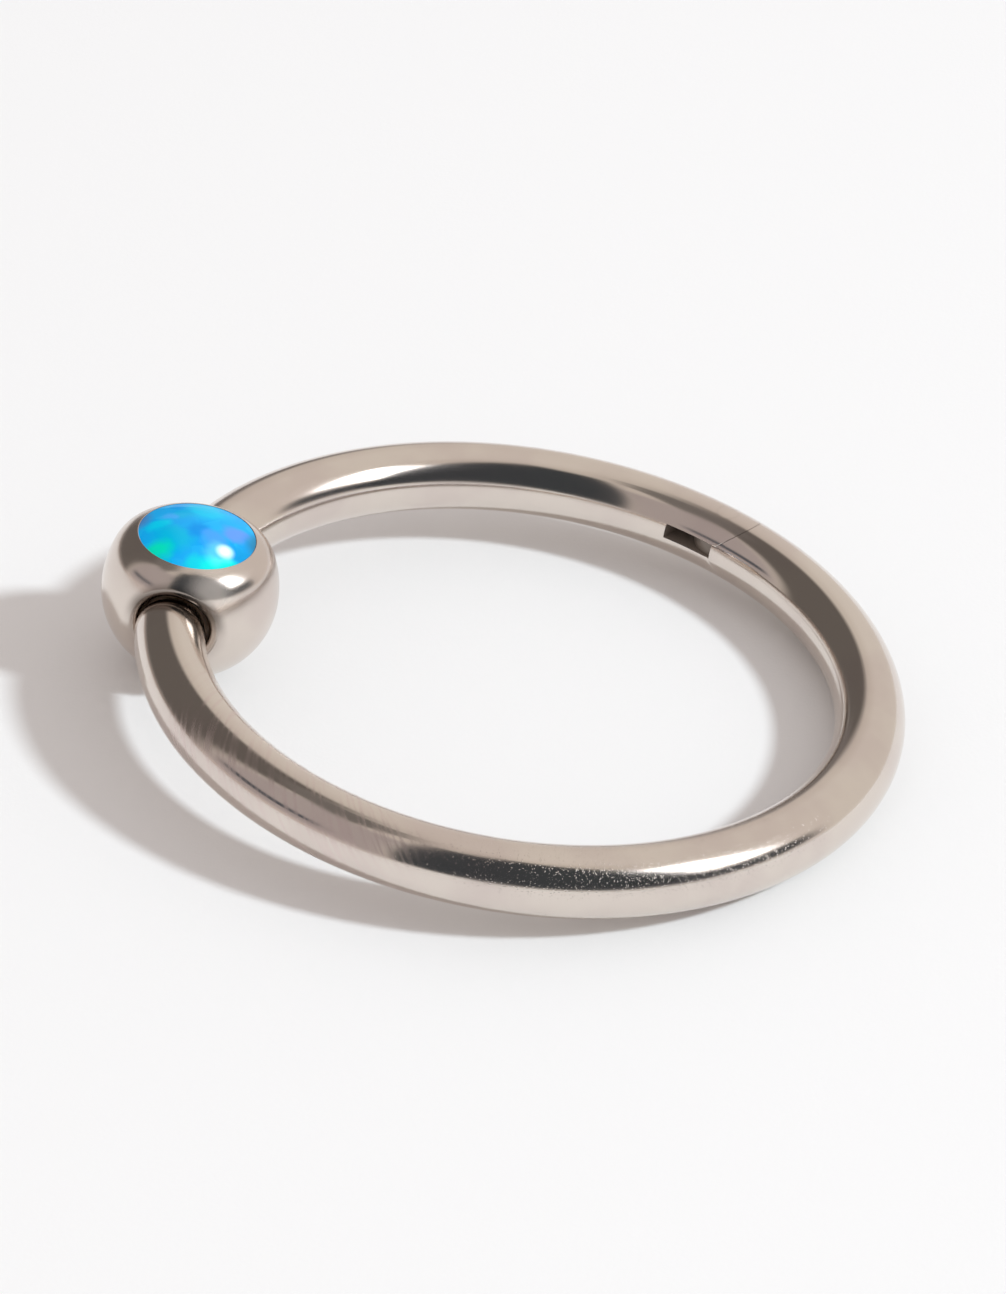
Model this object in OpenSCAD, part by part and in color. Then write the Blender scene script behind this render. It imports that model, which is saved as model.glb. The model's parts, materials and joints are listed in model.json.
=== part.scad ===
// Hinged hoop for a navel piercing. A long round wire and a short gate of the same wire close into a
// ring. The gate swings on a small fork-and-tongue hinge, and carries a ball with an opal in its top.
// The hoop lies on its side: it rests on the ball and on the wire opposite, so it is slightly tilted.
// Angles run counter-clockwise, seen from above, from the side of the hoop opposite the ball.

/* [Hoop] */
// Thickness of the round wire
wire_d = 1.6; // [1.4:0.1:1.8]
// Clear width across the inside of the hoop
inner_d = 14.4; // [12:0.2:18]

/* [Ball] */
// Diameter of the ball
ball_d = 4.05; // [4:0.05:4.6]
// Distance that the ball sits inwards from the middle line of the wire
ball_in = 0.2; // [0:0.05:0.3]
// Radius of the curve of the ball's side, above its middle
side_r = 2.64; // [2.5:0.01:2.75]
// Direction above the level, in degrees, where the side meets the shoulder
side_top = 20.2; // [18:0.1:22]
// Radius of the rounded shoulder below the bezel
shoulder_r = 0.9; // [0.85:0.01:0.95]
// Direction above the level, in degrees, that the sloped bezel round the opal faces
bezel_face = 60; // [58:0.5:62]
// Distance from the middle of the ball to where the hoop's tip begins to round off
tip_reach = 1.95; // [1.85:0.01:2.05]
// Gap all round between the hoop's tip and its seat in the ball
seat_gap = 0.12; // [0.08:0.01:0.14]
// Distance from the middle of the ball to the end of the gate inside it
arm_reach = 0.85; // [0.7:0.05:1.1]

/* [Opal] */
// Diameter of the opal
opal_d = 2.68; // [2.5:0.01:2.7]
// Height of the opal's straight edge
opal_edge_h = 0.36; // [0.3:0.01:0.38]
// Rise of the opal's dome above its edge
opal_rise = 0.28; // [0.1:0.01:0.4]

/* [Hinge] */
// Direction of the hinge pin from the middle of the hoop
hinge_angle = 65.5; // [50:0.1:85]
// Thickness of the hinge pin
pin_d = 0.5; // [0.4:0.05:0.6]
// Height of the slot between the ears of the fork
slot_h = 0.36; // [0.34:0.01:0.6]
// Height of the slot's middle above the middle of the wire
slot_up = 0.09; // [-0.1:0.01:0.1]
// Length of the slot behind the pin
slot_back = 1.1; // [0.9:0.05:1.4]
// Radius of the round end of the tongue
tongue_r = 0.68; // [0.6:0.01:0.74]
// Where the tongue widens to the whole wire, ahead of the pin
tongue_neck = 0.16; // [0.1:0.01:0.4]
// Where the outer corner of the hoop starts beside the ears, ahead of the pin
corner_start = 0.64; // [0.62:0.01:0.7]

/* [Fits] */
// Gap between parts that turn on each other
play = 0.03; // [0.02:0.01:0.05]
// Gap between pieces that are fixed to each other
fixed_gap = 0.01; // [0.01:0.005:0.02]

/* [Hidden] */
$fn = 96;

metal = "#b9aea5";
opal_blue = "#38a8e8";

wire_r = wire_d / 2;
ring_r = (inner_d + wire_d) / 2;
ball_r = ball_d / 2;
pin_r = pin_d / 2;
opal_r = opal_d / 2;

// The ears reach almost as far past the pin as the wire is thick, so that their round end meets its skin.
ear_r = wire_r - 0.02;
tongue_h = slot_h - 2 * play;
ball_ring_r = ring_r - ball_in;

// Lying on the ball and on the opposite wire, with the lowest points of both at z = 0.
rest_tilt = asin((ball_r - wire_r) / (ring_r + ball_ring_r));
lift = ring_r * sin(rest_tilt) + wire_r;
side_shift = (ball_r - wire_r - ball_in * cos(rest_tilt)) / 2;

// How far round the hoop a point of the wire lies from the ball, given its distance from the ball's middle.
function round_from_ball(reach) =
    acos((ring_r * ring_r + ball_ring_r * ball_ring_r - reach * reach) / (2 * ring_r * ball_ring_r));

// Directions of the hoop's tip and of the gate's end, from the middle of the hoop.
tip_angle = 180 + round_from_ball(tip_reach);
arm_end_angle = 180 - round_from_ball(arm_reach);
arm_hole_angle = 180 - round_from_ball(arm_reach - fixed_gap);
// Half the angle that the ball covers, with a little more.
ball_half_angle = 20;

function on_ring(angle) = [ring_r * cos(angle), ring_r * sin(angle), 0];

// The tip leaves its seat square to the line from the hinge pin, as the gate swings out.
pin_to_tip = on_ring(tip_angle) - on_ring(hinge_angle);
leave_angle = atan2(pin_to_tip[1], pin_to_tip[0]) + 90;
seat_r = wire_r + seat_gap;

// Above its middle the ball's outline is a curve for the side, a tighter one for the shoulder, and a slope.
side_mid_r = ball_r - side_r;
shoulder_mid_r = side_mid_r + (side_r - shoulder_r) * cos(side_top);
shoulder_mid_h = (side_r - shoulder_r) * sin(side_top);
pocket_r = opal_r + fixed_gap;
slope_h = shoulder_mid_h + shoulder_r * sin(bezel_face);
slope_r = shoulder_mid_r + shoulder_r * cos(bezel_face);
rim_h = slope_h + (slope_r - pocket_r) / tan(bezel_face);
opal_edge_top = rim_h - 0.02;
pocket_floor = opal_edge_top - opal_edge_h - fixed_gap;
dome_r = (opal_r * opal_r + opal_rise * opal_rise) / (2 * opal_rise);

// Larger than anything that a cut has to reach past.
far = 3;

module lying() {
    translate([side_shift, 0, lift]) rotate([0, rest_tilt, 0]) children();
}

module wire_arc(from, to, r) {
    rotate([0, 0, from]) rotate_extrude(angle = to - from) translate([ring_r, 0]) circle(r = r);
}

// Puts its children at the hinge pin, with X along the wire towards the main hoop and Y outwards.
module at_hinge() {
    rotate([0, 0, hinge_angle]) translate([ring_r, 0, 0]) rotate([0, 0, -90]) children();
}

// The same place, at the middle of the slot's height.
module at_slot() {
    at_hinge() translate([0, 0, slot_up]) children();
}

module at_ball() {
    translate([-ball_ring_r, 0, 0]) children();
}

// A flat outline cut through everything above and below a slab of height h.
module above_and_below(h) {
    for (side = [0, 1]) mirror([0, 0, side]) translate([0, 0, h / 2]) linear_extrude(far) children();
}

module through_slab(h) {
    translate([0, 0, -h / 2]) linear_extrude(h) children();
}

// A round-ended bar along X, from its round end's middle at the origin.
module round_ended_bar(r, length) {
    rotate([0, 90, 0]) cylinder(r = r, h = length);
    sphere(r = r);
}

module main_hoop() {
    color(metal) lying() difference() {
        // The wire and its domed tip, turned together so that they meet exactly.
        rotate([0, 0, tip_angle]) union() {
            wire_arc(0, 360 + hinge_angle + ball_half_angle / 2 - tip_angle, wire_r);
            translate([ring_r, 0, 0]) rotate([90, 0, 0]) rotate_extrude() intersection() {
                circle(r = wire_r);
                square([wire_r, wire_r]);
            }
        }
        // Room for the ears: round about the pin, and open on the outside, where the gate swings to.
        at_slot() above_and_below(tongue_h) union() {
            translate([-far, -far]) square([far, far]);
            translate([-far, 0]) square([far + corner_start, far]);
            circle(r = ear_r + play);
        }
        // The tongue's outline: a round end that widens to the whole wire.
        at_slot() through_slab(tongue_h + 2 * play) difference() {
            translate([-far, -far]) square([far + tongue_neck, 2 * far]);
            circle(r = tongue_r);
            translate([0, -tongue_r]) square([far, 2 * tongue_r]);
        }
        at_hinge() cylinder(r = pin_r + play, h = 2 * far, center = true);
    }
}

module gate_arm() {
    color(metal) lying() difference() {
        wire_arc(hinge_angle - ball_half_angle / 2, arm_end_angle, wire_r);
        at_slot() through_slab(slot_h) translate([-slot_back, -far]) square([slot_back + far, 2 * far]);
        // The ears end round about the pin.
        at_hinge() through_slab(2 * far) difference() {
            translate([0, -far]) square([far, 2 * far]);
            circle(r = ear_r);
        }
        at_hinge() cylinder(r = pin_r + fixed_gap, h = 2 * far, center = true);
    }
}

module hinge_pin() {
    color(metal) lying() intersection() {
        wire_arc(hinge_angle - ball_half_angle / 2, hinge_angle + ball_half_angle / 2, wire_r);
        at_hinge() cylinder(r = pin_r, h = 2 * far, center = true);
    }
}

// Points of a curve from one direction to another, without the first one.
function curve(mid_r, mid_h, r, from, to, steps) =
    [for (i = [1 : steps]) let (a = from + (to - from) * i / steps) [mid_r + r * cos(a), mid_h + r * sin(a)]];

module bezel_bead() {
    upper_half = concat(
        [[0, 0], [ball_r, 0]],
        curve(side_mid_r, 0, side_r, 0, side_top, 8),
        curve(shoulder_mid_r, shoulder_mid_h, shoulder_r, side_top, bezel_face, 12),
        [[pocket_r, rim_h], [0, rim_h]]);
    color(metal) lying() difference() {
        at_ball() union() {
            difference() {
                sphere(r = ball_r);
                translate([-far, -far, 0]) cube([2 * far, 2 * far, far]);
            }
            rotate_extrude() polygon(upper_half);
        }
        at_ball() translate([0, 0, pocket_floor]) cylinder(r = pocket_r, h = far);
        translate(on_ring(tip_angle)) rotate([0, 0, leave_angle]) round_ended_bar(seat_r, far);
        wire_arc(180 - ball_half_angle, arm_hole_angle, wire_r + fixed_gap);
    }
}

module opal() {
    color(opal_blue) lying() at_ball() intersection() {
        translate([0, 0, pocket_floor + fixed_gap]) cylinder(r = opal_r, h = far);
        translate([0, 0, opal_edge_top + opal_rise - dome_r]) sphere(r = dome_r);
    }
}

main_hoop();
gate_arm();
hinge_pin();
bezel_bead();
opal();
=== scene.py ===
# A hinged titanium hoop for a navel piercing, closed by a gate that carries a ball set with a blue opal.
import json
import math

import bmesh
import bpy
from mathutils import Matrix, Vector


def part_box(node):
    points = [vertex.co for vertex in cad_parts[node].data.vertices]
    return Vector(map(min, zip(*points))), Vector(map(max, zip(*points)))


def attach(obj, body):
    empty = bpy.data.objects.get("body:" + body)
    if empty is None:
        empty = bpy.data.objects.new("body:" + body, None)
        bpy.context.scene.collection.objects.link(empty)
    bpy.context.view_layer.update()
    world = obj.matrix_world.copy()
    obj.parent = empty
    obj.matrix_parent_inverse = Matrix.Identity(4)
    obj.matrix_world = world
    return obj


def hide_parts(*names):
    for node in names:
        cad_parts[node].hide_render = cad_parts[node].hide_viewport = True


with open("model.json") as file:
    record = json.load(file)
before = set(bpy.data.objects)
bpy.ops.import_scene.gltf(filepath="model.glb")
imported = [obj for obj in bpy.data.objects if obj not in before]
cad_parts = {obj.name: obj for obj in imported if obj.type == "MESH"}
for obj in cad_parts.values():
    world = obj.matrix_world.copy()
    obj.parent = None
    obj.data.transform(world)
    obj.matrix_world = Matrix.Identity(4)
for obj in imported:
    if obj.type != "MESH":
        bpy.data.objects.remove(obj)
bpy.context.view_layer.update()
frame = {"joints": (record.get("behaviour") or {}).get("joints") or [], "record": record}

# Camera: stands over the front of the hoop, a little to the right, and looks down by 33 degrees.
# It is a long lens from close by, rolled by a few degrees. Lengths are in metres, and MM is a millimetre.
MM = 0.001
camera_place = Vector((19.75, -112.03, 75.83)) * MM
camera_aim = Vector((0.02, 0.17, 1.81)) * MM
camera_roll = math.radians(4.44)
lens_mm = 166.92
sensor_mm = 36
nearest_seen = 5 * MM

bpy.ops.object.camera_add(location=camera_place)
camera = bpy.context.object
camera.data.lens = lens_mm
camera.data.sensor_width = sensor_mm
camera.data.clip_start = nearest_seen
looking = (camera_aim - camera_place).to_track_quat("-Z", "Y").to_matrix().to_4x4()
camera.matrix_world = Matrix.Translation(camera_place) @ looking @ Matrix.Rotation(camera_roll, 4, "Z")
bpy.context.scene.camera = camera

# Floor: a wide sheet of smooth white paper. It is matt, with a faint tooth that only shows close up,
# and it fills the picture from edge to edge.
floor_width = 1.2
paper_white = 0.9
paper_roughness = 0.75
tooth_scale = 9000
tooth_depth = 0.02 * MM
tooth_strength = 0.25


class Number:
    """A number worked out by shader nodes. Arithmetic on it adds the Math nodes."""

    def __init__(self, tree, socket):
        self.tree = tree
        self.socket = socket

    def math(self, operation, *values):
        return self.tree.node("Math", {"operation": operation}, *values)[0]

    def __add__(self, other):
        return self.math("ADD", self, other)

    def __radd__(self, other):
        return self.math("ADD", other, self)

    def __sub__(self, other):
        return self.math("SUBTRACT", self, other)

    def __rsub__(self, other):
        return self.math("SUBTRACT", other, self)

    def __mul__(self, other):
        return self.math("MULTIPLY", self, other)

    def __rmul__(self, other):
        return self.math("MULTIPLY", other, self)

    def __pow__(self, other):
        return self.math("POWER", self, other)

    def __rpow__(self, other):
        return self.math("POWER", other, self)

    def __abs__(self):
        return self.math("ABSOLUTE", self)


class Made:
    """A node's outputs, by name or by number."""

    def __init__(self, tree, node):
        self.tree = tree
        self.outputs = [s for s in node.outputs if s.enabled]

    def __getitem__(self, key):
        if isinstance(key, int):
            return Number(self.tree, self.outputs[key])
        return Number(self.tree, next(s for s in self.outputs if s.name == key))


class Nodes:
    """The nodes of one material or world, emptied and built up again."""

    def __init__(self, owner):
        owner.use_nodes = True
        self.nodes = owner.node_tree.nodes
        self.links = owner.node_tree.links
        self.nodes.clear()

    def node(self, kind, settings=None, *values, **named):
        """Adds a node, sets it up, and gives its sockets values or links, in order or by name."""
        made = self.nodes.new("ShaderNode" + kind)
        for name, value in (settings or {}).items():
            setattr(made, name, value)
        sockets = [s for s in made.inputs if s.enabled]
        pairs = list(zip(sockets, values))
        for name, value in named.items():
            wanted = name.replace("_", " ")
            pairs.append((next(s for s in sockets if s.name == wanted), value))
        for socket, value in pairs:
            if isinstance(value, Number):
                self.links.new(value.socket, socket)
            else:
                socket.default_value = value
        return Made(self, made)

    def smooth(self, value, low, high, to_low=0, to_high=1):
        """Goes smoothly from to_low to to_high as value goes from low to high."""
        settings = {"interpolation_type": "SMOOTHSTEP"}
        return self.node("MapRange", settings, value, low, high, to_low, to_high)[0]

    def mix(self, factor, first, second):
        """Mixes two colours: all first where factor is 0, all second where it is 1."""
        return self.node("Mix", {"data_type": "RGBA"}, factor, first, second)[0]


def grey(value):
    return (value, value, value, 1)


def add_material(piece, material):
    piece.data.materials.clear()
    piece.data.materials.append(material)


bpy.ops.object.select_all(action="DESELECT")
bpy.ops.mesh.primitive_plane_add(size=floor_width)
floor = bpy.context.object
floor.name = "paper_floor"
paper = bpy.data.materials.new("white_paper")
shade = Nodes(paper)
place = shade.node("TexCoord")["Object"]
tooth = shade.node("TexNoise", None, Vector=place, Scale=tooth_scale, Detail=4, Roughness=0.6)["Fac"]
bump = shade.node("Bump", None, Strength=tooth_strength, Distance=tooth_depth, Height=tooth)["Normal"]
matt = shade.node(
    "BsdfPrincipled", None, Base_Color=grey(paper_white), Roughness=paper_roughness, Normal=bump)["BSDF"]
shade.node("OutputMaterial", None, Surface=matt)
add_material(floor, paper)

# Light: a small lamp far to the right throws the crisp shadow on the left. The rest is the room, as the
# polished metal mirrors it: pale warm walls, a bright soft box and a dark side behind the camera.
# Directions are in degrees: 0 is the camera's side, and 90 is the right. Heights are above the floor.
lamp_turn = math.radians(88)
lamp_height = math.radians(40)
lamp_away = 0.8
lamp_wide = 0.1
lamp_watts = 5
lamp_colour = (0.865, 0.95, 1)
toward_lamp = Vector((
    math.sin(lamp_turn) * math.cos(lamp_height),
    -math.cos(lamp_turn) * math.cos(lamp_height),
    math.sin(lamp_height),
))
bpy.ops.object.light_add(type="AREA", location=toward_lamp * lamp_away)
lamp = bpy.context.object
lamp.name = "key_lamp"
lamp.rotation_euler = toward_lamp.to_track_quat("Z", "Y").to_euler()
lamp.data.shape = "DISK"
lamp.data.size = lamp_wide
lamp.data.energy = lamp_watts
lamp.data.color = lamp_colour
lamp.visible_camera = False
lamp.visible_glossy = False

# Each patch of the room lies over the ones before it.
pale_wall = (0.7, 0.645, 0.59, 1)
dark_room = (0.05, 0.058, 0.066, 1)
brown_room = (0.15, 0.135, 0.125, 1)
soft_box = (4.6, 4.8, 5, 1)
room_patches = [
    # turn, half turn, height, half height, soft turn, soft height, colour
    (145, 42, 40, 42, 10, 8, (0.78, 0.73, 0.68, 1)),
    (-85, 60, 1, 5, 20, 2, (0.72, 0.63, 0.59, 1)),
    (-50, 30, 36, 31, 5, 5, (0.47, 0.42, 0.415, 1)),
    (-121, 37, 36, 34, 6, 7, brown_room),
    (-97, 46, 74.5, 9.5, 6, 4, (0.2, 0.185, 0.175, 1)),
    (-158, 10, 5, 9, 6, 4, (0.22, 0.2, 0.19, 1)),
    (-58, 17, 20, 3.5, 3, 1.5, (0.08, 0.09, 0.11, 1)),
    (27, 45, 44.5, 37.5, 2, 3, dark_room),
    (83, 23, 16, 8, 5, 3, dark_room),
    (86, 13, 42, 13, 3, 4, soft_box),
]
paper_mirrored = grey(0.93)
paper_edge = 6
paper_edge_soft = 2
fill = (0.64, 0.59, 0.57, 1)

room = bpy.data.worlds.new("studio")
bpy.context.scene.world = room
shade = Nodes(room)
direction = shade.node("TexCoord")["Generated"]
along = shade.node("SeparateXYZ", None, direction)
turn = along[0].math("ARCTAN2", along[0], 0 - along[1]) * math.degrees(1)
height = along[2].math("ARCSINE", along[2]) * math.degrees(1)
past_paper = shade.smooth(height, paper_edge - paper_edge_soft, paper_edge + paper_edge_soft)
colour = shade.mix(past_paper, paper_mirrored, pale_wall)
for middle, half, up, half_up, soft, soft_up, tint in room_patches:
    aside = abs(turn.math("WRAP", turn - middle, 180, -180))
    above = abs(height - up)
    within_turn = shade.smooth(aside, half + soft, half - soft)
    within_height = shade.smooth(above, half_up + soft_up, half_up - soft_up)
    colour = shade.mix(within_turn * within_height, colour, tint)
rays = shade.node("LightPath")
mirrored = shade.node("Background", None, Color=colour, Strength=1)[0]
even = shade.node("Background", None, Color=fill, Strength=1)[0]
backdrop = shade.node("Background", None, Color=paper_mirrored, Strength=1)[0]
lit = shade.node("MixShader", None, rays["Is Glossy Ray"], even, mirrored)[0]
shade.node("OutputWorld", None, shade.node("MixShader", None, rays["Is Camera Ray"], lit, backdrop)[0])
bpy.context.scene.view_settings.view_transform = "Standard"

# Main hoop: the long round wire, bent from titanium bar. One end is domed and seats in the ball. The
# other is milled down to a flat tongue with a round end, drilled for the hinge pin.
record = frame["record"]
hinge = frame["joints"][0]
wire_r = record["mounts"][0]["dims"]["r_mm"] * MM
tilt = math.asin(-hinge["axis"][0])
ring_r = 8 * MM
hoop_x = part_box("main_hoop")[1].x - wire_r - ring_r * math.cos(tilt)
lying = Matrix.Translation((hoop_x, 0, wire_r + ring_r * math.sin(tilt))) @ Matrix.Rotation(tilt, 4, "Y")
ball_in = 0.2 * MM
tip_reach = 1.95 * MM
hinge_place = lying.inverted() @ Vector(hinge["pos_m"])
hinge_angle = math.atan2(hinge_place.y, hinge_place.x)
at_hinge = Matrix.Translation(hinge_place) @ Matrix.Rotation(hinge_angle - math.pi / 2, 4, "Z")

wire_sides = 96
step_angle = math.radians(1)
dome_steps = 16
crease = math.radians(28)
touching = 0.0001 * MM
doubles = 0.0005 * MM
sliver = 0.0002 * MM
beyond = 3 * MM
overlap = 0.01 * MM
play = 0.006 * MM
ear_room_r = wire_r + 0.004 * MM
pin_r = 0.25 * MM
slot_h = 0.36 * MM
slot_up = 0.09 * MM
tongue_h = slot_h - 2 * play
tongue_r = 0.68 * MM
tongue_neck = 0.16 * MM
straight_start = 0.03 * MM
straight_half = 0.998 * tongue_r
corner_start = 0.66 * MM
hinge_reach = math.radians(10)
at_slot = at_hinge @ Matrix.Translation((0, 0, slot_up))


def on_ring(angle):
    return Vector((ring_r * math.cos(angle), ring_r * math.sin(angle), 0))


def round_from_ball(reach):
    """How far round the hoop from the ball the wire is at this distance from the ball's middle."""
    near = ring_r - ball_in
    return math.acos((ring_r ** 2 + near ** 2 - reach ** 2) / (2 * ring_r * near))


tip_angle = math.pi + round_from_ball(tip_reach)


def start_fresh():
    if bpy.context.object and bpy.context.object.mode != "OBJECT":
        bpy.ops.object.mode_set(mode="OBJECT")
    bpy.ops.object.select_all(action="DESELECT")


def hold(piece):
    """Makes this piece the only one that is worked on."""
    start_fresh()
    bpy.context.view_layer.objects.active = piece
    piece.select_set(True)


def put(piece, place):
    """Moves a piece's mesh to its place, and leaves its object at the origin."""
    hold(piece)
    piece.matrix_world = place
    bpy.ops.object.transform_apply()


def select_where(piece, test):
    """In edit mode, selects the vertices whose place passes the test, and what lies between them."""
    mesh = bmesh.from_edit_mesh(piece.data)
    for vertex in mesh.verts:
        vertex.select = test(vertex.co)
    mesh.select_flush(True)
    mesh.select_flush(False)
    bmesh.update_edit_mesh(piece.data)


def wire_between(name, start, end, r):
    """Round wire along the hoop, from one direction to another, open at both ends."""
    start_fresh()
    bpy.ops.mesh.primitive_circle_add(vertices=wire_sides, radius=r)
    wire = bpy.context.object
    wire.name = name
    upright = Matrix.Rotation(math.pi / 2, 4, "X")
    put(wire, Matrix.Rotation(start, 4, "Z") @ Matrix.Translation((ring_r, 0, 0)) @ upright)
    bpy.ops.object.mode_set(mode="EDIT")
    bpy.ops.mesh.select_all(action="SELECT")
    steps = round((end - start) / step_angle)
    bpy.ops.mesh.spin(steps=steps, angle=end - start, center=(0, 0, 0), axis=(0, 0, -1))
    return wire


def round_off(middle, heading, r):
    """Domes the selected end loop, by extruding it in shrinking steps, and closes it."""
    at = Vector(middle)
    smallest = 0.0001
    for i in range(dome_steps):
        low = math.pi / 2 * i / dome_steps
        high = math.pi / 2 * (i + 1) / dome_steps
        stride = heading * r * (math.sin(high) - math.sin(low))
        shrink = max(math.cos(high) / math.cos(low), smallest)
        bpy.ops.mesh.extrude_edges_move(TRANSFORM_OT_translate={"value": stride})
        at = at + stride
        bpy.ops.transform.resize(value=(shrink, shrink, shrink), center_override=at)
    bpy.ops.mesh.merge(type="CENTER")


def select_open_edges():
    bpy.ops.mesh.select_all(action="DESELECT")
    bpy.ops.mesh.select_mode(type="EDGE")
    bpy.ops.mesh.select_non_manifold(
        extend=False, use_wire=False, use_multi_face=False, use_non_contiguous=False)


def close_ends():
    select_open_edges()
    bpy.ops.mesh.fill_holes(sides=0)
    bpy.ops.mesh.select_mode(type="VERT")


def tidy_mesh():
    """Merges doubles, turns the faces outwards and leaves edit mode."""
    bpy.ops.mesh.select_all(action="SELECT")
    bpy.ops.mesh.remove_doubles(threshold=doubles)
    bpy.ops.mesh.normals_make_consistent(inside=False)
    bpy.ops.object.mode_set(mode="OBJECT")


def block(low, high, place=Matrix.Identity(4)):
    """A cutter with square sides, from its lowest corner to its highest."""
    start_fresh()
    bpy.ops.mesh.primitive_cube_add(size=1)
    cutter = bpy.context.object
    low, high = Vector(low), Vector(high)
    size = high - low
    cutter.matrix_world = place @ Matrix.Translation((low + high) / 2) @ Matrix.Diagonal((*size, 1))
    return cutter


def rod(r, low, high, place=Matrix.Identity(4)):
    """A round cutter along Z, from its lowest point to its highest."""
    start_fresh()
    bpy.ops.mesh.primitive_cylinder_add(vertices=wire_sides, radius=r, depth=high - low)
    cutter = bpy.context.object
    cutter.matrix_world = place @ Matrix.Translation((0, 0, (low + high) / 2))
    return cutter


def cut(piece, *cutters):
    """Takes the cutters out of the piece, throws them away, and clears the slivers that are left."""
    hold(piece)
    for cutter in cutters:
        cutting = piece.modifiers.new("cut", "BOOLEAN")
        cutting.operation = "DIFFERENCE"
        cutting.solver = "EXACT"
        cutting.object = cutter
        bpy.ops.object.modifier_apply(modifier=cutting.name)
    for cutter in cutters:
        bpy.data.objects.remove(cutter)
    bpy.ops.object.mode_set(mode="EDIT")
    bpy.ops.mesh.select_all(action="SELECT")
    bpy.ops.mesh.dissolve_degenerate(threshold=sliver)
    bpy.ops.object.mode_set(mode="OBJECT")


def lay_down(piece):
    """Lays a piece that was made flat about the hoop's middle where the hoop rests, shaded smooth."""
    put(piece, lying)
    bpy.ops.object.shade_smooth_by_angle(angle=crease)


def distance(first, *others):
    """How far away a place is, from how far it is along each axis."""
    squares = first * first
    for other in others:
        squares = squares + other * other
    return squares ** 0.5


clean_metal = (0.73, 0.66, 0.6, 1)
wiped_metal = (0.68, 0.6, 0.555, 1)
rubbed_metal = (0.72, 0.6, 0.57, 1)
# The brown of the painted shade round the ball's seat.
painted_shade_brown = (0.15, 0.12, 0.1, 1)
# The raw cut metal inside the hoop: dull, and painted dark as painted shade in the hinge's slot.
cut_metal_painted_shade = (0.24, 0.2, 0.17, 1)
# How much rougher each mark makes the polish, and how much less metallic a raw cut looks.
wiped_rougher = 0.05
rubbed_rougher = 0.14
dusty_rougher = 0.05
raw_rougher = 0.25
raw_duller = 0.85

smudge_scale = 420
wiped_range = (0.42, 0.68)
# The rubbed stretch is left of the front, with slanting marks, and the dusty one is right of the front.
rubbed_stretch = (math.radians(-121), math.radians(38), math.radians(14))
rub_length = 1.3 * MM
rub_width = 0.1 * MM
rub_slant = math.radians(51)
rubbed_range = (0.42, 0.66)
rubbed_most = 0.5
polish_length = 3 * MM
polish_width = 0.035 * MM
polish_strength = 0.35
polish_depth = 0.0012 * MM
dusty_stretch = (math.radians(-58), math.radians(50), math.radians(4))
dust_scale = 30000
dust_amount = 0.36
dust_range = (1, 1.12)
speck_range = (0.5, 0.15)
speck_height = 0.0024 * MM


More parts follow.
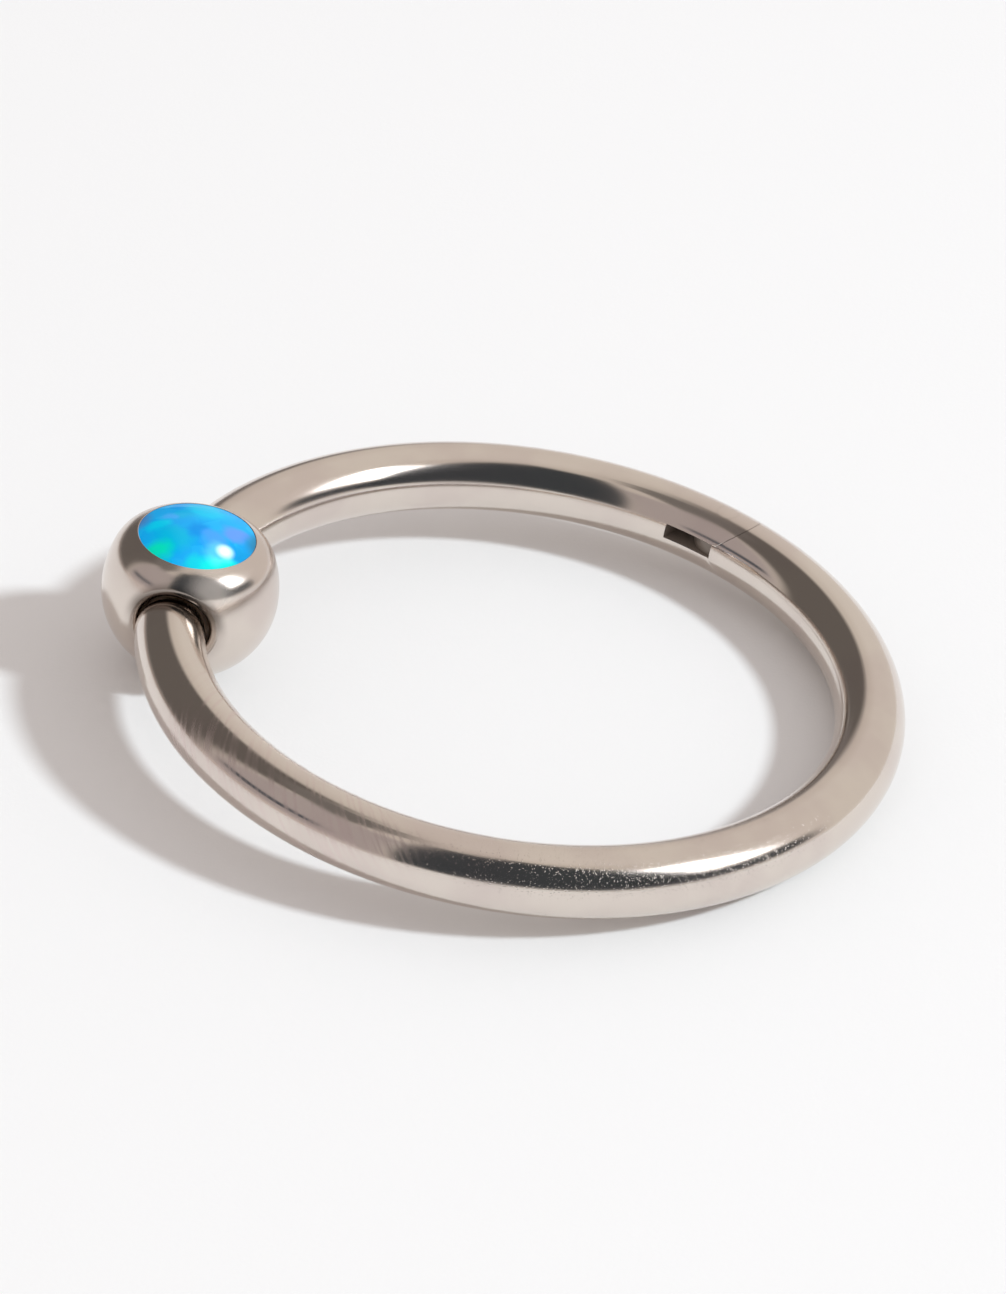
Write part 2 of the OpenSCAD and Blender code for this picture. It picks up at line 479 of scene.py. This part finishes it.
def titanium(name, roughness, raw_painted_light_part, raw_painted_light_colour, hazy_part=None, painted_shade_part=None):
    """Polished titanium with smudges, a rubbed stretch and a dusty one. What was cut inside it stays raw.
    Its raw colour is painted light: dark painted shade in the hinge's slot, and light in the ball's seat.

    Each part is a function that says how raw, hazy or darkened by painted shade the metal is at a place
    on the flat hoop.
    """
    material = bpy.data.materials.new(name)
    shade = Nodes(material)
    place = shade.node("TexCoord")["Object"]
    flat = shade.node("Mapping", {"vector_type": "TEXTURE"}, place, lying.translation, (0, tilt, 0))[0]
    apart = shade.node("SeparateXYZ", None, flat)
    x, y, z = apart[0], apart[1], apart[2]
    outwards = distance(x, y) - ring_r
    angle = y.math("ARCTAN2", y, x)
    round_wire = outwards.math("ARCTAN2", outwards, z) * wire_r
    rolled_out = shade.node("CombineXYZ", None, angle * ring_r, round_wire, 0)[0]

    def lines(length, width, slant=0):
        """Fine uneven lines along the wire, of this length and width."""
        settings = {"vector_type": "TEXTURE"}
        stretched = shade.node(
            "Mapping", settings, rolled_out, (0, 0, 0), (0, 0, slant), (length, width, 1))[0]
        return shade.node("TexNoise", None, Vector=stretched, Scale=1, Detail=2)["Fac"]

    def stretch(middle, end, full):
        """A stretch of the hoop, which fades out between two directions on each side of its middle."""
        return shade.smooth(abs(angle - middle), end, full)

    smudge = shade.node("TexNoise", None, Vector=flat, Scale=smudge_scale, Detail=3, Roughness=0.55)["Fac"]
    wiped = shade.smooth(smudge, *wiped_range)
    rubs = lines(rub_length, rub_width, rub_slant)
    rubbed = shade.smooth(rubs, *rubbed_range) * stretch(*rubbed_stretch)
    dusty = stretch(*dusty_stretch)
    dust = shade.node("TexVoronoi", None, Vector=flat, Scale=dust_scale)
    grain = shade.node("SeparateXYZ", None, dust["Color"])[0] + dusty * dust_amount
    specks = shade.smooth(dust["Distance"], *speck_range) * shade.smooth(grain, *dust_range)
    colour = shade.mix(wiped, clean_metal, wiped_metal)
    colour = shade.mix(rubbed * rubbed_most, colour, rubbed_metal)
    # Painted shade: a brown darkening of the metal, where the piece has it.
    if painted_shade_part:
        colour = shade.mix(painted_shade_part(shade, x, y, z), colour, painted_shade_brown)
    # The raw cut metal's colour is painted light: dark painted shade in the slot, light in the ball's seat.
    raw_with_painted_light = raw_painted_light_part(shade, x, y, z, outwards)
    colour = shade.mix(raw_with_painted_light, colour, raw_painted_light_colour)
    rough = roughness + wiped * wiped_rougher + rubbed * rubbed_rougher + dusty * dusty_rougher
    rough = rough + raw_with_painted_light * raw_rougher
    metallic = 1 - raw_with_painted_light * raw_duller
    if hazy_part:
        metallic = metallic - hazy_part(shade, x, y, z)
    polish = lines(polish_length, polish_width)
    fine = shade.node(
        "Bump", None, Strength=polish_strength, Distance=polish_depth, Height=polish)["Normal"]
    bump = shade.node("Bump", None, Strength=1, Distance=speck_height, Height=specks, Normal=fine)["Normal"]
    metal = shade.node(
        "BsdfPrincipled", None, Base_Color=colour, Metallic=metallic, Roughness=rough, Normal=bump)["BSDF"]
    shade.node("OutputMaterial", None, Surface=metal)
    return material


raw_below = 0.04 * MM
polished_above = 0.012 * MM


def under_wire_skin(shade, x, y, z, outwards):
    """The inside of the wire, on the hinge's side of the hoop."""
    inside = shade.smooth(distance(outwards, z), wire_r - raw_below, wire_r - polished_above, 1, 0)
    return inside * shade.smooth(y, 0, ring_r / 4)


hoop_roughness = 0.1
main_hoop = wire_between("main_hoop_wire", tip_angle, math.tau + hinge_angle + hinge_reach, wire_r)
tip_middle = on_ring(tip_angle)
tip_heading = Vector((math.sin(tip_angle), -math.cos(tip_angle), 0))
select_where(main_hoop, lambda co: abs((co - tip_middle).dot(tip_heading)) < touching
             and (co - tip_middle).length < 2 * wire_r)
round_off(tip_middle, tip_heading, wire_r)
close_ends()
tidy_mesh()
for side in (1, -1):
    low, high = sorted((side * tongue_h / 2, side * beyond))
    cut(
        main_hoop,
        block((-beyond, -beyond, low), (0, 0, high), at_slot),
        block((-beyond, -overlap, low), (corner_start, beyond, high), at_slot),
        rod(ear_room_r, low, high, at_slot),
    )
slab = tongue_h / 2 + play
around_tongue = block((-beyond, -beyond, -slab), (tongue_neck, beyond, slab), at_slot)
cut(
    around_tongue,
    rod(tongue_r, -beyond, beyond, at_hinge),
    block((straight_start, -straight_half, -beyond), (beyond, straight_half, beyond), at_hinge),
)
cut(main_hoop, around_tongue, rod(pin_r + play, -beyond, beyond, at_hinge))
lay_down(main_hoop)
add_material(main_hoop, titanium("hoop_titanium", hoop_roughness, under_wire_skin, cut_metal_painted_shade))
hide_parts("main_hoop")
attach(main_hoop, "hoop")

# Gate arm: a short piece of the same wire. Its outer end is slotted into two ears that clasp the tongue,
# rounded on the outside so that it can swing, and its inner end is pressed into the ball.
arm_reach = 0.85 * MM
slot_back = 1.1 * MM
ear_r = wire_r - 0.008 * MM
fixed_gap = 0.003 * MM
gate_roughness = 0.13
arm_end_angle = math.pi - round_from_ball(arm_reach)


def closed_wire(name, start, end, r):
    """Round wire along the hoop, cut off flat at both ends."""
    wire = wire_between(name, start, end, r)
    close_ends()
    tidy_mesh()
    return wire


gate_arm = closed_wire("gate_arm_wire", hinge_angle - hinge_reach, arm_end_angle, wire_r)
past_ears = block((0, -beyond, -beyond), (beyond, beyond, beyond), at_hinge)
cut(past_ears, rod(ear_r, -2 * beyond, 2 * beyond, at_hinge))
cut(
    gate_arm,
    block((-slot_back, -beyond, -slot_h / 2), (beyond, beyond, slot_h / 2), at_slot),
    past_ears,
    rod(pin_r + fixed_gap, -beyond, beyond, at_hinge),
)
lay_down(gate_arm)
add_material(gate_arm, titanium("gate_titanium", gate_roughness, under_wire_skin, cut_metal_painted_shade))
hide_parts("gate_arm")
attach(gate_arm, "gate")

# Hinge pin: a fine titanium pin, pressed through the ears and ground flush with the wire.
# It is the part of the wire that lies within the pin's radius.
around_pin_r = 3 * wire_r
hinge_pin = closed_wire("pin_stub", hinge_angle - hinge_reach, hinge_angle + hinge_reach, wire_r)
around_pin = rod(around_pin_r, -beyond, beyond, at_hinge)
cut(around_pin, rod(pin_r, -2 * beyond, 2 * beyond, at_hinge))
cut(hinge_pin, around_pin)
lay_down(hinge_pin)
add_material(hinge_pin, titanium("pin_titanium", gate_roughness, under_wire_skin, cut_metal_painted_shade))
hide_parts("hinge_pin")
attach(hinge_pin, "gate")

# Ball: turned from titanium bar, with a pocket in its top whose rim is rolled over the stone's edge.
# Its side is hollowed out as a seat for the hoop's domed tip, and its back is pressed onto the gate's end.
ball_r = 2.025 * MM
side_r = 2.64 * MM
side_top = math.radians(20.2)
shoulder_r = 0.9 * MM
bezel_face = math.radians(60)
opal_r = 1.34 * MM
opal_below_rim = 0.02 * MM
pocket_depth = 0.37 * MM
seat_gap = 0.07 * MM
mouth_round = 0.22 * MM
mouth_patch = 2.5 * mouth_round
hole_past_arm = 0.0104 * MM
# The small lip over the stone's edge: outwards from the pocket's wall and down from the rim.
lip = [(0.03 * MM, 0.0173 * MM), (0.012 * MM, 0.009 * MM), (0, 0.014 * MM)]

ball_steps = 192
seat_r = wire_r + seat_gap
side_mid_r = ball_r - side_r
shoulder_mid_r = side_mid_r + (side_r - shoulder_r) * math.cos(side_top)
shoulder_mid_h = (side_r - shoulder_r) * math.sin(side_top)
pocket_r = opal_r + fixed_gap
slope_r = shoulder_mid_r + shoulder_r * math.cos(bezel_face)
slope_h = shoulder_mid_h + shoulder_r * math.sin(bezel_face)
rim_h = slope_h + (slope_r - pocket_r) / math.tan(bezel_face)
opal_edge_top = rim_h - opal_below_rim
pocket_floor = opal_edge_top - pocket_depth


def arc(middle_r, middle_h, r, start, end, steps):
    """Points of an outline's curve, from one direction to another."""
    turns = [start + (end - start) * i / steps for i in range(steps + 1)]
    return [(middle_r + r * math.cos(turn), middle_h + r * math.sin(turn)) for turn in turns]


def turned(name, outline, steps):
    """A piece turned about Z as on a lathe: an outline of (radius, height) points, spun all round."""
    start_fresh()
    bpy.ops.mesh.primitive_plane_add(size=1)
    piece = bpy.context.object
    piece.name = name
    bpy.ops.object.mode_set(mode="EDIT")
    bpy.ops.mesh.select_all(action="SELECT")
    bpy.ops.mesh.merge(type="CENTER")
    bpy.ops.transform.translate(value=(outline[0][0], 0, outline[0][1]))
    for (r, h), (next_r, next_h) in zip(outline, outline[1:]):
        step = (next_r - r, 0, next_h - h)
        bpy.ops.mesh.extrude_vertices_move(TRANSFORM_OT_translate={"value": step})
    bpy.ops.mesh.select_all(action="SELECT")
    bpy.ops.mesh.spin(steps=steps, angle=math.tau, center=(0, 0, 0), axis=(0, 0, 1))
    tidy_mesh()
    return piece


outline = arc(0, 0, ball_r, -math.pi / 2, 0, 60)
outline += arc(side_mid_r, 0, side_r, 0, side_top, 18)[1:]
outline += arc(shoulder_mid_r, shoulder_mid_h, shoulder_r, side_top, bezel_face, 24)[1:]
outline += [(pocket_r + aside, rim_h - down) for aside, down in lip]
outline += [(pocket_r, pocket_floor), (0, pocket_floor)]
bead = turned("bezel_ball", outline, ball_steps)
bead_middle = Vector((ball_in - ring_r, 0, 0))
put(bead, Matrix.Translation(bead_middle))

# The seat: a round end about the hoop's tip, open along the way in which the tip leaves.
seat_steps = 50
pin_to_tip = tip_middle - on_ring(hinge_angle)
leave_angle = math.atan2(pin_to_tip.y, pin_to_tip.x) + math.pi / 2
leaving = Vector((math.cos(leave_angle), math.sin(leave_angle), 0))
start_fresh()
bpy.ops.mesh.primitive_uv_sphere_add(segments=wire_sides, ring_count=wire_sides // 2, radius=seat_r)
seat = bpy.context.object
pole_ahead = Matrix.Rotation(math.pi / 2, 4, "Y")
put(seat, Matrix.Translation(tip_middle) @ Matrix.Rotation(leave_angle, 4, "Z") @ pole_ahead)
bpy.ops.object.mode_set(mode="EDIT")
select_where(seat, lambda co: (co - tip_middle).dot(leaving) > touching)
bpy.ops.mesh.delete(type="VERT")
select_open_edges()
for i in range(seat_steps):
    bpy.ops.mesh.extrude_edges_move(TRANSFORM_OT_translate={"value": leaving * beyond / seat_steps})
close_ends()
tidy_mesh()

# The gate's hole starts well outside the ball and ends a little past the gate's end.
hole_start = math.pi - math.radians(20)
hole_end = arm_end_angle + hole_past_arm / ring_r
arm_hole = closed_wire("arm_hole", hole_start, hole_end, wire_r + fixed_gap)
cut(bead, seat, arm_hole)


def from_skin(co):
    """How deep a point lies under the ball's skin, and which way is out of it."""
    offset = co - bead_middle
    if offset.z < 0:
        return ball_r - offset.length, offset.normalized()
    aside = Vector((offset.x, offset.y, 0))
    outwards = aside + Vector((0, 0, offset.z)) - aside.normalized() * side_mid_r
    return side_r - outwards.length, outwards.normalized()


def from_seat(co):
    """How far a point lies outside the seat's wall, and which way that is."""
    offset = co - tip_middle
    offset = offset - leaving * max(offset.dot(leaving), 0)
    return offset.length - seat_r, offset.normalized()


def near_mouth(co, reach):
    return from_skin(co)[0] < reach and from_seat(co)[0] < reach


# The seat's mouth is rounded: the path over its sharp edge, from the ball's skin down into the seat, is
# bent into a quarter turn. A second pass brings each point closer to it.
hold(bead)
bpy.ops.object.mode_set(mode="EDIT")
bpy.ops.mesh.select_mode(type="VERT")
select_where(bead, lambda co: near_mouth(co, mouth_patch))
bpy.ops.mesh.quads_convert_to_tris()
bpy.ops.mesh.subdivide(number_cuts=3)
mesh = bmesh.from_edit_mesh(bead.data)
for vertex in mesh.verts:
    if not near_mouth(vertex.co, mouth_round):
        continue
    path = mouth_round - from_seat(vertex.co)[0] + from_skin(vertex.co)[0]
    turned_by = path / (2 * mouth_round) * math.pi / 2
    for i in range(2):
        depth, up = from_skin(vertex.co)
        clear, away = from_seat(vertex.co)
        deeper = mouth_round * (1 - math.cos(turned_by)) - depth
        further = mouth_round * (1 - math.sin(turned_by)) - clear
        lean = -up.dot(away)
        sideways = (further - lean * deeper) / (1 - lean * lean)
        vertex.co += away * sideways - up * (deeper - sideways * lean)
bmesh.update_edit_mesh(bead.data)
bpy.ops.object.mode_set(mode="OBJECT")
lay_down(bead)


def under_ball_skin(shade, x, y, z, outwards):
    """The inside of the ball: its seat and its pocket."""
    away = distance(x - bead_middle.x, y, z)
    return shade.smooth(away, ball_r - seat_raw_below, ball_r - seat_polished_above, 1, 0)


ball_roughness = 0.17
# The seat's raw metal is painted light: lighter than the polished metal, to lift the shade deep in the
# seat.
seat_metal_painted_light = (0.9, 0.72, 0.56, 1)
seat_raw_below = 0.6 * MM
seat_polished_above = 0.2 * MM
haze_middle = Vector((0.75, -1.5, 1)) * MM
haze_full = 0.15 * MM
haze_end = 0.75 * MM
haze_most = 0.4
# Painted shade round the seat: how far it reaches, and how strong it is from low to high.
seat_shade_full = seat_r + 0.08 * MM
seat_shade_end = seat_r + 0.4 * MM
seat_shade_heights = (-0.1 * MM, 0.6 * MM)
seat_shade_strengths = (0.15, 0.95)


def hazy_below_stone(shade, x, y, z):
    """A hazy patch on the shoulder, in front of the stone."""
    middle = bead_middle + haze_middle
    away = distance(x - middle.x, y - middle.y, z - middle.z)
    return shade.smooth(away, haze_end, haze_full, 0, haze_most)


def painted_shade_round_seat(shade, x, y, z):
    """Painted shade round the seat: a brown darkening of the metal, strongest over it."""
    from_tip_x = x - tip_middle.x
    from_tip_y = y - tip_middle.y
    ahead = from_tip_x * leaving.x + from_tip_y * leaving.y
    ahead = ahead.math("MAXIMUM", ahead, 0)
    away = distance(from_tip_x - ahead * leaving.x, from_tip_y - ahead * leaving.y, z)
    near = shade.smooth(away, seat_shade_end, seat_shade_full)
    return near * shade.smooth(z, *seat_shade_heights, *seat_shade_strengths)


ball_metal = titanium(
    "ball_titanium", ball_roughness, under_ball_skin, seat_metal_painted_light, hazy_below_stone, painted_shade_round_seat)
add_material(bead, ball_metal)
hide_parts("bezel_bead")
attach(bead, "gate")

# Opal: a thin round cabochon of blue-green opal, held in the pocket by the rim. Its colours are patches
# listed in millimetres from the stone's middle, with edges that waver.
opal_rise = 0.28 * MM
opal_steps = 128
ripple_scale = 1.7
ripple_reach = 0.5
flake_scale = 2.6
rim_shade = 0.8
under_gloss = 0.4
dome_r = (opal_r ** 2 + opal_rise ** 2) / (2 * opal_rise)
dome_half = math.asin(opal_r / dome_r)
outline = [(0, pocket_floor + fixed_gap), (opal_r, pocket_floor + fixed_gap)]
outline += arc(0, opal_edge_top + opal_rise - dome_r, dome_r, math.pi / 2 - dome_half, math.pi / 2, 24)
opal = turned("opal_stone", outline, opal_steps)
put(opal, Matrix.Translation(bead_middle))
lay_down(opal)
stone = bpy.data.materials.new("blue_opal")
shade = Nodes(stone)
place = shade.node("TexCoord")["Object"]
ball_middle = lying @ bead_middle
flat = shade.node("Mapping", {"vector_type": "TEXTURE"}, place, ball_middle, (0, tilt, 0), (MM, MM, MM))[0]
ripple = shade.node("TexNoise", None, Vector=flat, Scale=ripple_scale, Detail=2)["Color"]
ripple = shade.node("VectorMath", {"operation": "SUBTRACT"}, ripple, (0.5, 0.5, 0.5))[0]
ripple = shade.node("VectorMath", {"operation": "SCALE"}, ripple, Scale=ripple_reach)[0]
wavy = shade.node("VectorMath", {"operation": "ADD"}, flat, ripple)[0]
still = shade.node("SeparateXYZ", None, flat)
wavering = shade.node("SeparateXYZ", None, wavy)


def flash(x, y, reach, full=0.3, at=wavering):
    """A round patch: its middle, its reach, and how much of that is at full strength."""
    return shade.smooth(distance(at[0] - x, at[1] - y), reach, reach * full)


flakes = shade.node("TexVoronoi", {"voronoi_dimensions": "2D"}, Vector=wavy, Scale=flake_scale)["Color"]
flake = shade.node("SeparateXYZ", None, flakes)[0]
colour = shade.mix(flake, (0.0, 0.36, 0.86, 1), (0.01, 0.46, 0.9, 1))
for x, y, reach, tint in [
    (-0.02, 0.85, 0.7, (0.0, 0.57, 0.88, 1)),
    (-0.48, 0.42, 0.36, (0.0, 0.45, 0.8, 1)),
    (-0.75, 0.25, 0.26, (0.05, 0.42, 0.93, 1)),
    (-0.85, -0.2, 0.34, (0.0, 0.6, 0.86, 1)),
    (-0.4, -0.55, 0.6, (0.0, 0.48, 0.76, 1)),
    (0.05, -0.1, 0.4, (0.0, 0.3, 0.8, 1)),
    (-0.66, -1.0, 0.42, (0.0, 0.72, 0.5, 1)),
    (0.86, 0.2, 0.42, (0.12, 0.32, 0.92, 1)),
    (0.45, -0.25, 0.45, (0.06, 0.36, 0.95, 1)),
    (1.25, -0.5, 0.5, (0.0, 0.32, 0.7, 1)),
    (0.25, -1.2, 0.4, (0.0, 0.64, 0.8, 1)),
    (0.65, -1.15, 0.45, (0.0, 0.82, 0.8, 1)),
    (0.95, -0.95, 0.4, (0.0, 0.8, 0.74, 1)),
]:
    colour = shade.mix(flash(x, y, reach), colour, tint)
for x, y, reach, tint in [
    (1.72, 0.25, 0.8, (0.02, 0.16, 0.28, 1)),
    (-1.65, 0.1, 0.65, (0.08, 0.2, 0.48, 1)),
]:
    colour = shade.mix(flash(x, y, reach, 0.5, still) * rim_shade, colour, tint)
# Painted highlight: the bright spot is an emission patch, a faint green glow with a white core.
painted_highlight = shade.mix(flash(0.65, -0.7, 0.42), grey(0), (0.1, 0.25, 0.2, 1))
painted_highlight = shade.mix(flash(0.78, -0.55, 0.27, 0.2, still), painted_highlight, (1.1, 1.1, 1.05, 1))
gloss = shade.node(
    "BsdfPrincipled", None, Base_Color=colour, Roughness=0.25, Specular_IOR_Level=0,
    Coat_Weight=under_gloss, Coat_Roughness=0.05, Emission_Color=painted_highlight, Emission_Strength=1)["BSDF"]
shade.node("OutputMaterial", None, Surface=gloss)
add_material(opal, stone)
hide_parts("opal")
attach(opal, "gate")
